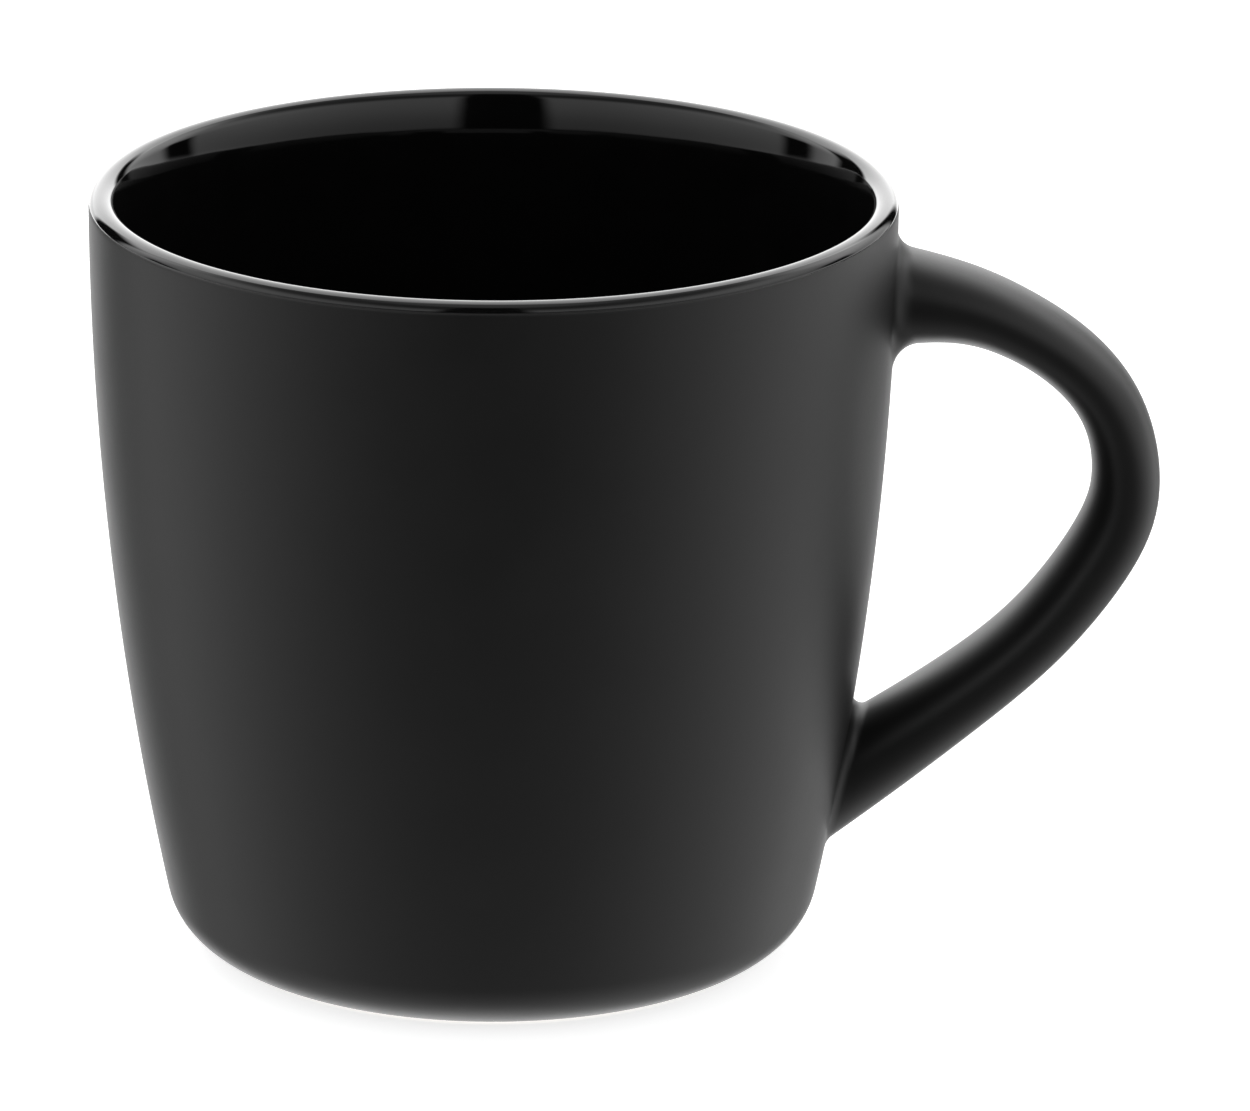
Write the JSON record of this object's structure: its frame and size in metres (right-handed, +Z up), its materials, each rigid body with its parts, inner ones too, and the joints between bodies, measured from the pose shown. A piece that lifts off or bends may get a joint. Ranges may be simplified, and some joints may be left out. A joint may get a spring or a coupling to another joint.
{
  "type": "ceramic mug",
  "caption": "Round mug with gently bowed, tapering walls, a rounded heel and an oval loop handle; matt black outside, gloss black inside and over the lip.",
  "frame": {"origin": "centre of the foot ring's contact face, on the cup's axis, where the mug meets the table", "axes": "+Z up along the cup's axis to the open rim, +X from the axis towards the handle, +Y to the left of the handle seen from outside it"},
  "size_m": [0.1173, 0.088, 0.085],
  "materials": {
    "fired_clay": "matte",
    "slip_clay": "matte",
    "gloss_black_glaze": "gloss",
    "matt_black_glaze": "satin",
    "recess_glaze": "satin"
  },
  "bodies": {
    "root": {"cup_body": "fired_clay", "handle": "fired_clay", "upper_slip_joint": "slip_clay", "lower_slip_joint": "slip_clay", "inner_gloss_glaze": "gloss_black_glaze", "outer_matt_glaze": "matt_black_glaze", "base_recess_glaze": "recess_glaze"}
  },
  "joints": []
}
